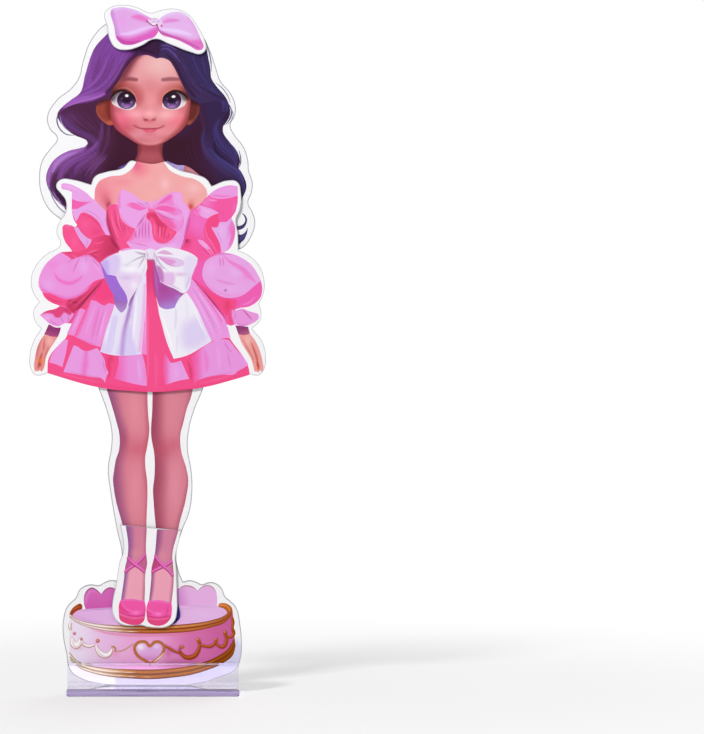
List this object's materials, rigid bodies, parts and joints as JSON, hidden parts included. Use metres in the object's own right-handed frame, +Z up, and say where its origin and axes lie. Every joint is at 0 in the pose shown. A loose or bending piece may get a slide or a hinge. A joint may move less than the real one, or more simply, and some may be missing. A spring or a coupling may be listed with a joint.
{
  "type": "magnetic dress-up doll",
  "caption": "Flat die-cut magnetic doll standing in a clear slotted holder, with a printed dress, hair bow and shoes that cling to its front and lift off.",
  "frame": {"origin": "middle of the holder's underside", "axes": "+Z up along the doll, +X to the right as seen from its front, the doll faces -Y"},
  "size_m": [0.065, 0.024, 0.189],
  "materials": {
    "clear_acrylic": "polished",
    "doll_print": "gloss",
    "plain_card": "satin",
    "magnet_sheet": "matte",
    "dress_print": "gloss",
    "bow_print": "gloss",
    "shoes_print": "gloss"
  },
  "bodies": {
    "holder": {"holder_base": "clear_acrylic", "holder_front_wall": "clear_acrylic", "holder_rear_wall": "clear_acrylic"},
    "doll": {"doll_front_card": "doll_print", "doll_core": "magnet_sheet", "doll_back_card": "plain_card"},
    "dress": {"dress_card": "dress_print", "dress_magnet": "magnet_sheet"},
    "bow": {"bow_card": "bow_print", "bow_magnet": "magnet_sheet"},
    "shoes": {"shoes_card": "shoes_print", "shoes_magnet": "magnet_sheet"}
  },
  "joints": [
    {"name": "doll_lift", "type": "slide", "parent": "holder", "child": "doll", "axis": [0, 0, 1], "range_m": [0, 0.01]},
    {"name": "dress_pull", "type": "slide", "parent": "doll", "child": "dress", "axis": [0, -1, 0], "range_m": [0, 0.03]},
    {"name": "bow_pull", "type": "slide", "parent": "doll", "child": "bow", "axis": [0, -1, 0], "range_m": [0, 0.03]},
    {"name": "shoes_pull", "type": "slide", "parent": "doll", "child": "shoes", "axis": [0, -1, 0], "range_m": [0, 0.03]}
  ]
}
